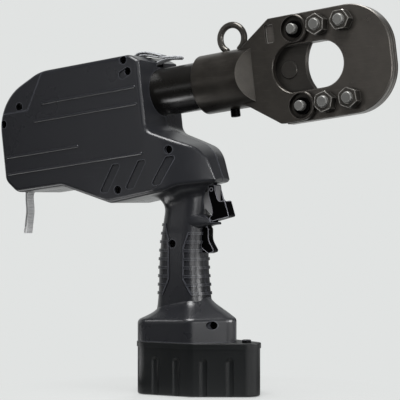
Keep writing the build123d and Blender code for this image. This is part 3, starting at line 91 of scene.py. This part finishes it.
# Middle lines of the tabs in millimetres: along and across the tool's axis in front, X and Z at the rear
MM = 0.001
FRONT_TAB = ((-20.7, 33.7), (-26.0, 35.9), (-32.0, 38.1), (-39.0, 39.8), (-45.5, 39.8), (-49.6, 36.6),
             (-48.6, 31.2), (-46.3, 27.8), (-42.5, 26.9), (-36.0, 26.95), (-28.5, 27.4), (-21.0, 29.1),
             (-14.0, 29.9), (-7.5, 29.2), (-3.8, 28.6), (-2.6, 29.3), (-3.7, 30.2), (-8.0, 30.7),
             (-14.0, 31.3), (-20.0, 32.0), (-25.4, 33.4), (-29.5, 34.6), (-33.6, 35.9),
             (-38.5, 37.2), (-44.0, 37.4))
REAR_TAB = ((-189.0, 145.4), (-187.4, 157.0), (-186.3, 167.0), (-187.0, 176.0), (-187.1, 182.5),
            (-184.0, 187.5), (-180.2, 192.0), (-179.2, 196.2), (-180.6, 199.7), (-183.9, 201.1),
            (-187.2, 199.6), (-188.7, 196.0), (-188.9, 190.0), (-188.6, 183.0), (-188.5, 176.0),
            (-187.9, 167.0), (-189.0, 157.0), (-190.6, 145.4))

# How edges and hollows are found, where edges are lightened for wear and painted highlight and shade is
# painted into hollows: rays, the shares of open sky between which they fade, and reach in metres
SKY_RAYS = 6
EDGE_SKY = (0.93, 0.6)
HOLLOW_SKY = (0.9, 0.3)
YARN_SKY = (0.96, 0.55)
PLASTIC_HOLLOW = 0.0025
OPEN_HOLLOW = 0.004
YARN_HOLLOW = 0.0012

# The most light that a lightened or pale shade of a colour gives back, as on edges lightened for wear and
# painted highlight
PALEST = 0.95

# Floor and backdrop: colours, strengths, and distances in metres
PALE = (0.752, 0.768, 0.761)
DIM = (0.02, 0.02, 0.02)
SOFT_LIGHT = 0.22
FLOOR_SEEN = (0.5, 0.508, 0.504)
FLOOR_BOUNCE = (0.15, 0.153, 0.152)
FLOOR_HALF = 6.0
FLOOR_GAP = 0.0005
SHADOW_RANGE = (0.07, 0.2)
SHADOW_GLOW = (0.6, 1.0)
TABLE_RANGE = (0.05, 0.13)
BEHIND_RANGE = (0.1, 0.4)

# Spot on the tool that the lamps are turned to
LAMP_AIM = (0.0, 0.0, 0.2)


# Node helpers

def material(name):
    mat = bpy.data.materials.new(name)
    mat.use_nodes = True
    tree = mat.node_tree
    return mat, tree, tree.nodes["Principled BSDF"]


def node(tree, kind, **values):
    """A node with its sockets, or else its settings, given by name."""
    made = tree.nodes.new(kind)
    for key, value in values.items():
        if key in made.inputs:
            made.inputs[key].default_value = value
        else:
            setattr(made, key, value)
    return made


def place(tree, scale=(1, 1, 1), turn=(0, 0, 0)):
    """Position on the piece in metres, stretched and turned for a texture."""
    spot = node(tree, "ShaderNodeTexCoord")
    shift = node(tree, "ShaderNodeMapping", Scale=scale, Rotation=turn)
    tree.links.new(spot.outputs["Object"], shift.inputs["Vector"])
    return shift.outputs["Vector"]


def noise(tree, vector, scale=1.0, detail=3.0, rough=0.55):
    made = node(tree, "ShaderNodeTexNoise", Scale=scale, Detail=detail, Roughness=rough)
    tree.links.new(vector, made.inputs["Vector"])
    return made.outputs["Fac"]


def spread(tree, value, source, target=(0.0, 1.0)):
    """A value taken from one range to another, and held within it."""
    made = node(tree, "ShaderNodeMapRange")
    made.inputs["From Min"].default_value, made.inputs["From Max"].default_value = source
    made.inputs["To Min"].default_value, made.inputs["To Max"].default_value = target
    tree.links.new(value, made.inputs["Value"])
    return made.outputs["Result"]


def blend(tree, factor, dark, light):
    """Colour between two, by a factor."""
    made = node(tree, "ShaderNodeMix", data_type="RGBA")
    tree.links.new(factor, made.inputs["Factor"])
    for socket, colour in (("A", dark), ("B", light)):
        spot = [s for s in made.inputs if s.name == socket and s.type == "RGBA"][0]
        if isinstance(colour, tuple):
            spot.default_value = colour + (1,)
        else:
            tree.links.new(colour, spot)
    return [s for s in made.outputs if s.type == "RGBA"][0]


def reckon(tree, operation, first, second):
    """Sum or product of two factors, held between 0 and 1."""
    made = node(tree, "ShaderNodeMath", operation=operation, use_clamp=True)
    tree.links.new(first, made.inputs[0])
    tree.links.new(second, made.inputs[1])
    return made.outputs[0]


def mixed(tree, factor, first, second):
    """One shader where the factor is 0, another where it is 1."""
    made = node(tree, "ShaderNodeMixShader")
    for source, socket in zip((factor, first, second), made.inputs):
        tree.links.new(source, socket)
    return made.outputs[0]


def bump(tree, height, depth):
    made = node(tree, "ShaderNodeBump", Strength=1.0, Distance=depth)
    tree.links.new(height, made.inputs["Height"])
    return made.outputs["Normal"]


def sky(tree, reach, **settings):
    """Share of open sky over a point, as far as reach."""
    near = node(tree, "ShaderNodeAmbientOcclusion", samples=SKY_RAYS, Distance=reach, **settings)
    return near.outputs["AO"]


def edges(tree, reach):
    """Nearly 1 along sharp outer edges, 0 on flats: where edges are lightened, partly for wear and partly as
    a painted highlight.
    """
    return spread(tree, sky(tree, reach, inside=True, only_local=True), EDGE_SKY)


def hollows(tree, reach, local):
    """Nearly 1 down in grooves and holes, 0 on open faces: where shade is painted on. Local leaves out what
    other pieces hide.
    """
    return spread(tree, sky(tree, reach, only_local=local), HOLLOW_SKY)


def shade(colour, factor):
    return tuple(min(c * factor, PALEST) for c in colour)


# Materials

def plastic(name, colour, rough, grain=0.00004, wear_and_highlight=2.2, reach=0.0009, shine=0.5):
    """Moulded plastic: fine sparked skin, faint scuffs, painted shade in holes and grooves, and edges
    lightened, partly as wear polished by hands and partly as a painted highlight.
    """
    mat, tree, skin = material(name)
    spot = place(tree)
    fine = noise(tree, spot, scale=1400.0, detail=2.0)
    broad = noise(tree, spot, scale=16.0, detail=4.0)
    streaks = place(tree, scale=(35.0, 300.0, 420.0), turn=(0.0, 0.5, 0.2))
    scuff = spread(tree, noise(tree, streaks, detail=4.0, rough=0.65), (0.62, 0.74), (0.0, 0.5))
    scuffed = reckon(tree, "MULTIPLY", scuff, spread(tree, broad, (0.45, 0.65)))
    tint = blend(tree, broad, shade(colour, 0.84), shade(colour, 1.16))
    tint = blend(tree, scuffed, tint, shade(colour, 1.9))
    # Painted shade down in holes and grooves
    tint = blend(tree, hollows(tree, PLASTIC_HOLLOW, True), tint, shade(colour, 0.15))
    # Edges lightened, partly for wear and partly as a painted highlight
    tint = blend(tree, edges(tree, reach), tint, shade(colour, wear_and_highlight))
    dull = spread(tree, broad, (0.3, 0.7), (rough - 0.05, rough + 0.06))
    tree.links.new(tint, skin.inputs["Base Color"])
    tree.links.new(dull, skin.inputs["Roughness"])
    tree.links.new(bump(tree, fine, grain), skin.inputs["Normal"])
    skin.inputs["Specular IOR Level"].default_value = shine
    return mat


def burnished(name, colour, rough, along=(0, 0, 0), wear_and_highlight=(0.2, 0.19, 0.18), reach=0.0008, metal=1.0):
    """Metal with grinding marks one way, oily blotches, painted shade in hollows and beside other pieces
    such as nuts, and edges lightened, partly as wear rubbed bright and partly as a painted highlight.
    """
    mat, tree, skin = material(name)
    skin.inputs["Metallic"].default_value = metal
    lines = noise(tree, place(tree, scale=(70.0, 900.0, 900.0), turn=along))
    broad = noise(tree, place(tree), scale=28.0, detail=5.0, rough=0.6)
    tint = blend(tree, spread(tree, broad, (0.3, 0.7)), shade(colour, 0.68), shade(colour, 1.36))
    tint = blend(tree, spread(tree, lines, (0.55, 0.75), (0.0, 0.35)), tint, shade(colour, 1.8))
    # Painted shade in hollows and beside other pieces such as nuts
    tint = blend(tree, hollows(tree, OPEN_HOLLOW, False), tint, shade(colour, 0.3))
    patchy = spread(tree, broad, (0.3, 0.6), (0.45, 1.0))
    # Edges lightened in patches, partly as wear rubbed bright and partly as a painted highlight
    tint = blend(tree, reckon(tree, "MULTIPLY", edges(tree, reach), patchy), tint, wear_and_highlight)
    dull = spread(tree, broad, (0.3, 0.7), (rough - 0.07, rough + 0.08))
    tree.links.new(tint, skin.inputs["Base Color"])
    tree.links.new(dull, skin.inputs["Roughness"])
    tree.links.new(bump(tree, lines, 0.00002), skin.inputs["Normal"])
    return mat


def woven(name, colour):
    """Nylon yarn with a fine twist along each pick, painted shade down between the picks, and painted shade
    where other layers and pieces lie close.
    """
    mat, tree, skin = material(name)
    # Painted shade down between the picks
    between = spread(tree, sky(tree, YARN_HOLLOW, only_local=True), YARN_SKY)
    yarn = noise(tree, place(tree, scale=(2600.0, 700.0, 2600.0)))
    dust = noise(tree, place(tree), scale=120.0, detail=4.0, rough=0.6)
    tint = blend(tree, dust, shade(colour, 0.7), shade(colour, 1.25))
    tint = blend(tree, between, tint, shade(colour, 0.22))
    # Painted shade where other layers and pieces lie close
    tint = blend(tree, hollows(tree, OPEN_HOLLOW, False), tint, shade(colour, 0.25))
    tree.links.new(tint, skin.inputs["Base Color"])
    tree.links.new(bump(tree, yarn, 0.00012), skin.inputs["Normal"])
    skin.inputs["Roughness"].default_value = 0.85
    skin.inputs["Specular IOR Level"].default_value = 0.2
    skin.inputs["Sheen Weight"].default_value = 0.15
    return mat


# HEAD_WAY turns the noise of the grinding marks by the tool's tilt
HEAD_WAY = (0.0, AXIS_TILT, 0.0)
# Edge factors and colours lighten edges, partly for wear and partly as a painted highlight; on the black
# trigger they draw a painted highlight line
PLASTICS = {
    "housing_plastic": dict(colour=(0.0150, 0.0156, 0.0182), rough=0.3, wear_and_highlight=4.0),
    "battery_plastic": dict(colour=(0.0058, 0.0066, 0.0070), rough=0.38, shine=0.35),
    "trigger_plastic": dict(colour=(0.0010, 0.0010, 0.0011), rough=0.3, grain=0.000004, wear_and_highlight=300.0,
                            reach=0.0008, shine=0.03),
    "switch_plastic": dict(colour=(0.17, 0.17, 0.175), rough=0.4, grain=0.00001, wear_and_highlight=1.0),
    "tube_black": dict(colour=(0.0044, 0.0040, 0.0034), rough=0.26, grain=0.000006, wear_and_highlight=6.0,
                       reach=0.0006, shine=0.7),
    "rubber_black": dict(colour=(0.012, 0.012, 0.012), rough=0.6),
    "terminal_plastic": dict(colour=(0.08, 0.08, 0.085), rough=0.4),
    "cell_wrap": dict(colour=(0.06, 0.16, 0.32), rough=0.25, grain=0.00001, wear_and_highlight=1.0),
}
METALS = {
    "black_screw": dict(colour=(0.006, 0.006, 0.006), rough=0.45, wear_and_highlight=(0.02, 0.02, 0.02)),
    "head_steel": dict(colour=(0.070, 0.064, 0.057), rough=0.31, along=HEAD_WAY, wear_and_highlight=(0.6, 0.57, 0.53),
                       reach=0.0005, metal=0.7),
    "yoke_steel": dict(colour=(0.045, 0.041, 0.036), rough=0.34, along=HEAD_WAY, wear_and_highlight=(0.16, 0.15, 0.14),
                       reach=0.0005, metal=0.7),
    "latch_steel": dict(colour=(0.12, 0.11, 0.10), rough=0.34, along=HEAD_WAY, wear_and_highlight=(0.7, 0.68, 0.64),
                        reach=0.001, metal=0.75),
    "blade_steel": dict(colour=(0.045, 0.042, 0.038), rough=0.36, along=HEAD_WAY, reach=0.0006, metal=0.75),
    "pin_steel": dict(colour=(0.014, 0.013, 0.012), rough=0.4, wear_and_highlight=(0.014, 0.013, 0.012), metal=0.3),
    "eye_steel": dict(colour=(0.085, 0.08, 0.072), rough=0.32, metal=0.75),
    "bolt_steel": dict(colour=(0.11, 0.11, 0.105), rough=0.4, wear_and_highlight=(0.55, 0.55, 0.53),
                       reach=0.0006, metal=0.3),
    "nut_steel": dict(colour=(0.06, 0.056, 0.05), rough=0.34, wear_and_highlight=(0.7, 0.68, 0.64),
                      reach=0.0009, metal=0.75),
    "bright_steel": dict(colour=(0.55, 0.55, 0.56), rough=0.3, wear_and_highlight=(0.75, 0.75, 0.75)),
    "aluminium_cast": dict(colour=(0.6, 0.6, 0.61), rough=0.4, wear_and_highlight=(0.8, 0.8, 0.8)),
    "motor_steel": dict(colour=(0.35, 0.35, 0.36), rough=0.35, wear_and_highlight=(0.6, 0.6, 0.6)),
    "contact_brass": dict(colour=(0.75, 0.58, 0.28), rough=0.25, wear_and_highlight=(0.85, 0.7, 0.4)),
}
# The rear tab is the same webbing as the front one, painted paler to stand in for light that its shaded
# place below the rear of the housing lacks
YARNS = {
    "webbing": (0.36, 0.37, 0.385),
    "rear_webbing_painted_light": (0.76, 0.77, 0.79),
}
MATERIALS = {name: plastic(name, **look) for name, look in PLASTICS.items()}
MATERIALS.update({name: burnished(name, **look) for name, look in METALS.items()})
MATERIALS.update({name: woven(name, colour) for name, colour in YARNS.items()})

# Pieces with a look of their own within their slot
OWN_LOOKS = {
    "yoke": "yoke_steel",
    "yoke_latch": "latch_steel",
    "frame_nuts": "nut_steel",
    "trigger_pin": "trigger_plastic",
    "blade_pin": "pin_steel",
}
for part in frame["record"]["subparts"]:
    piece = nodes[part["node"]]
    piece.data.materials.clear()
    piece.data.materials.append(MATERIALS[OWN_LOOKS.get(part["node"], part["material_slot"])])


# Woven tabs

def tool_spot(x, z):
    """A point of the tool's middle plane given along and across its axis, in metres."""
    return Vector((AXIS_X - MIDDLE_X + x * cos(AXIS_TILT) - z * sin(AXIS_TILT), 0.0,
                   AXIS_Z + x * sin(AXIS_TILT) + z * cos(AXIS_TILT)))


def smooth_line(points, step):
    """Even steps along a smooth curve through the points, and the curve's length."""
    ends = [points[0] * 2 - points[1]] + points + [points[-1] * 2 - points[-2]]
    dense = []
    for i in range(1, len(ends) - 2):
        p0, p1, p2, p3 = ends[i - 1:i + 3]
        for k in range(CURVE_STEPS):
            t = k / CURVE_STEPS
            dense.append(0.5 * (2 * p1 + (p2 - p0) * t + (2 * p0 - 5 * p1 + 4 * p2 - p3) * t ** 2
                                + (3 * p1 - p0 - 3 * p2 + p3) * t ** 3))
    dense.append(points[-1])
    run = [0.0]
    for a, b in zip(dense, dense[1:]):
        run.append(run[-1] + (b - a).length)
    count = int(run[-1] / step)
    line, at = [], 0
    for i in range(count + 1):
        goal = run[-1] * i / count
        while at < len(run) - 2 and run[at + 1] < goal:
            at += 1
        share = (goal - run[at]) / max(run[at + 1] - run[at], TINY)
        line.append(dense[at].lerp(dense[at + 1], share))
    return line, run[-1]


def webbing(name, points, node_name, yarn):
    """Ribbed woven strip along a line in the middle plane, closed, with rolled edges."""
    line, length = smooth_line(points, PICK / PICK_STEPS)
    columns = 2 * WARPS + 1
    verts, faces = [], []
    for i, spot in enumerate(line):
        ahead = line[min(i + 1, len(line) - 1)] - line[max(i - 1, 0)]
        out = Vector((-ahead.z, 0.0, ahead.x)).normalized()
        phase = 2 * pi * i / PICK_STEPS
        for side in (1, -1):
            for c in range(columns):
                across = c / (columns - 1) * 2 - 1
                rib = PICK_RISE * (0.5 + 0.5 * cos(phase + WARP_LAG * (c // 2 % 2)))
                core = TAB_THICK / 2 * (1 - EDGE_THIN * abs(across) ** EDGE_ROLL)
                thick = core + rib * (1 - abs(across) ** RIB_ROLL)
                verts.append(spot + out * side * thick + Vector((0, across * side * TAB_WIDTH / 2, 0)))
    ring = 2 * columns
    for i in range(len(line) - 1):
        for k in range(ring):
            a, b = i * ring + k, i * ring + (k + 1) % ring
            faces.append((a, b, b + ring, a + ring))
    last = (len(line) - 1) * ring
    for base in (0, last):
        for c in range(columns - 1):
            quad = (base + c, base + c + 1, base + ring - 2 - c, base + ring - 1 - c)
            faces.append(quad[::-1] if base == 0 else quad)
    mesh = bpy.data.meshes.new(name)
    mesh.from_pydata(verts, [], faces)
    mesh.validate()
    mesh.update()
    for face in mesh.polygons:
        face.use_smooth = True
    piece = bpy.data.objects.new(name, mesh)
    scene.collection.objects.link(piece)
    mesh.materials.append(yarn)
    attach(piece, "housing")
    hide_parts(node_name)


front_line = [tool_spot(x * MM, z * MM) for x, z in FRONT_TAB]
rear_line = [Vector((x * MM - MIDDLE_X, 0.0, z * MM)) for x, z in REAR_TAB]
webbing("front_tab", front_line, "strap_front", MATERIALS["webbing"])
webbing("rear_tab", rear_line, "strap_rear", MATERIALS["rear_webbing_painted_light"])


# Springs copied onto the bodies they move with

def coil(node_name, body):
    """A copy of the spring of a node, carried by a body, with the node's own piece hidden."""
    solid = nodes[node_name]
    made = bpy.data.objects.new(node_name + "_coil", solid.data.copy())
    scene.collection.objects.link(made)
    made.matrix_world = solid.matrix_world.copy()
    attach(made, body)
    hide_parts(node_name)
    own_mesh(made)


coil("return_spring", "housing")
coil("trigger_spring", "housing")
coil("button_spring", "battery")


# Camera, floor and lights

camera = bpy.data.objects.new("camera", bpy.data.cameras.new("camera"))
scene.collection.objects.link(camera)
camera.data.lens = CAMERA_LENS
camera.data.sensor_width = CAMERA_SENSOR
camera.location = CAMERA_SPOT
camera.rotation_euler = (radians(90), 0, CAMERA_AZIMUTH)
camera.data.clip_end = CAMERA_REACH
scene.camera = camera


def pale_world():
    """Pale backdrop for what is seen and mirrored, softer light on the rest."""
    world = bpy.data.worlds.new("studio")
    scene.world = world
    world.use_nodes = True
    tree = world.node_tree
    tree.nodes.clear()
    rays = node(tree, "ShaderNodeLightPath")
    seen = reckon(tree, "ADD", rays.outputs["Is Camera Ray"], rays.outputs["Is Glossy Ray"])
    clear = reckon(tree, "ADD", seen, rays.outputs["Is Transmission Ray"])
    back = node(tree, "ShaderNodeBackground", Color=PALE + (1,), Strength=1.0)
    soft = node(tree, "ShaderNodeBackground", Color=(1, 1, 1, 1), Strength=SOFT_LIGHT)
    out = node(tree, "ShaderNodeOutputWorld")
    tree.links.new(mixed(tree, clear, soft.outputs[0], back.outputs[0]), out.inputs["Surface"])


def flat(xs, ys, height):
    """Corners of a level sheet."""
    (x0, x1), (y0, y1) = xs, ys
    return [(x0, y0, height), (x1, y0, height), (x1, y1, height), (x0, y1, height)]


def upright(start, end, heights):
    """Corners of a standing sheet over the line from start to end."""
    low, high = heights
    return [(*start, low), (*end, low), (*end, high), (*start, high)]


def sheet_of(name, corners):
    mesh = bpy.data.meshes.new(name)
    mesh.from_pydata(corners, [], [(0, 1, 2, 3)])
    made = bpy.data.objects.new(name, mesh)
    scene.collection.objects.link(made)
    return made


def pale_floor():
    """Pale table top that keeps the shadow near and runs into the backdrop. In front, mirrors see it dim."""
    floor = sheet_of("floor", flat((-FLOOR_HALF, FLOOR_HALF), (-FLOOR_HALF, FLOOR_HALF), 0))
    floor.location.z = cad_box[0][2] - FLOOR_GAP
    mat, tree, skin = material("floor")
    skin.inputs["Roughness"].default_value = 0.9
    skin.inputs["Specular IOR Level"].default_value = 0.0
    rays = node(tree, "ShaderNodeLightPath")
    seen = rays.outputs["Is Camera Ray"]
    tree.links.new(blend(tree, seen, FLOOR_BOUNCE, FLOOR_SEEN), skin.inputs["Base Color"])
    spot = place(tree)
    away = node(tree, "ShaderNodeVectorMath", operation="LENGTH")
    tree.links.new(spot, away.inputs[0])
    axes = node(tree, "ShaderNodeSeparateXYZ")
    tree.links.new(spot, axes.inputs[0])
    share = reckon(tree, "MULTIPLY", seen, spread(tree, away.outputs["Value"], SHADOW_RANGE, SHADOW_GLOW))
    glow = node(tree, "ShaderNodeEmission", Color=PALE + (1,), Strength=1.0)
    front = spread(tree, axes.outputs["Y"], BEHIND_RANGE, (1.0, 0.0))
    far = reckon(tree, "MULTIPLY", spread(tree, away.outputs["Value"], TABLE_RANGE), front)
    mirrored = node(tree, "ShaderNodeEmission", Strength=1.0)
    tree.links.new(blend(tree, far, PALE, DIM), mirrored.inputs["Color"])
    table = mixed(tree, share, skin.outputs[0], glow.outputs[0])
    gloss = mixed(tree, rays.outputs["Is Glossy Ray"], table, mirrored.outputs[0])
    tree.links.new(gloss, tree.nodes["Material Output"].inputs["Surface"])
    floor.data.materials.append(mat)


def card(name, corners, level):
    """Studio card that only reflections show."""
    made = sheet_of(name, corners)
    made.visible_camera = made.visible_diffuse = made.visible_shadow = made.visible_transmission = False
    mat, _, skin = material(name)
    skin.inputs["Base Color"].default_value = (0, 0, 0, 1)
    skin.inputs["Specular IOR Level"].default_value = 0.0
    skin.inputs["Emission Color"].default_value = (level, level, level, 1)
    skin.inputs["Emission Strength"].default_value = 1.0
    made.data.materials.append(mat)


def lamp(name, spot, size, power):
    """Soft lamp turned to the middle of the tool, which no reflection shows."""
    data = bpy.data.lights.new(name, "AREA")
    data.shape = "RECTANGLE"
    data.size, data.size_y = size
    data.energy = power
    made = bpy.data.objects.new(name, data)
    scene.collection.objects.link(made)
    made.location = spot
    made.rotation_euler = (Vector(LAMP_AIM) - Vector(spot)).to_track_quat("-Z", "Y").to_euler()
    made.visible_camera = made.visible_glossy = False


# Cards by corners in metres and brightness: dim ones for the room, bright ones for the highlights
CARDS = {
    "ceiling": (flat((-3, 3), (-3, 1.2), 1.9), 0.05),
    "skylight": (flat((-0.3, 0.6), (-1.0, 0.2), 1.85), 14.0),
    "left": (upright((-2.6, -0.9), (1.7, -2.3), (0, 1.9)), 0.03),
    "right": (upright((1.0, 2.4), (2.6, 0.0), (0, 1.9)), 0.05),
    "back": (upright((-2.4, 2.0), (1.0, 2.4), (0, 0.7)), 0.1),
    "back_right": (upright((0.0, 2.35), (1.0, 2.4), (0.7, 1.9)), 0.1),
    "fill": (upright((-0.8, -1.1), (-0.5, -1.25), (0.2, 0.42)), 0.9),
    "head_fill": (upright((-0.42, -1.28), (-0.25, -1.33), (0.3, 0.6)), 1.6),
    "tube_band": (flat((-0.12, -0.06), (-0.08, -0.12), 0.15), 6.0),
    "band": ([(-0.36, 0.0, 0.01), (-0.1, -0.03, 0.01), (-0.1, -0.13, 0.01), (-0.36, -0.13, 0.01)], 4.0),
    "window": (upright((1.4, 0.68), (1.56, 0.0), (0.4, 0.8)), 24.0),
    "window_low": (upright((1.2, 0.95), (1.58, -0.1), (0.02, 0.3)), 2.4),
    "window_near": (upright((1.5, -0.5), (1.1, -1.1), (0.1, 0.28)), 9.0),
}

# Lamps by place and size in metres and power in watts
LAMPS = {
    "front": ((0.3, -0.7, 1.1), (0.4, 0.4), 14.0),
    "low": ((-0.5, -1.2, 0.35), (0.5, 0.3), 1.6),
    "side": ((0.95, -0.45, 0.12), (0.4, 0.2), 4.0),
    "rear": ((-0.4, 1.4, 0.9), (0.8, 0.8), 14.0),
    "rear_left": ((-1.5, 0.3, 0.7), (0.6, 0.6), 8.0),
    "top": ((0.1, -0.2, 1.6), (1.2, 0.8), 11.0),
}
pale_world()
pale_floor()
for name, (corners, level) in CARDS.items():
    card(name, corners, level)
for name, (spot, size, power) in LAMPS.items():
    lamp(name, spot, size, power)

scene.view_settings.view_transform = "Standard"
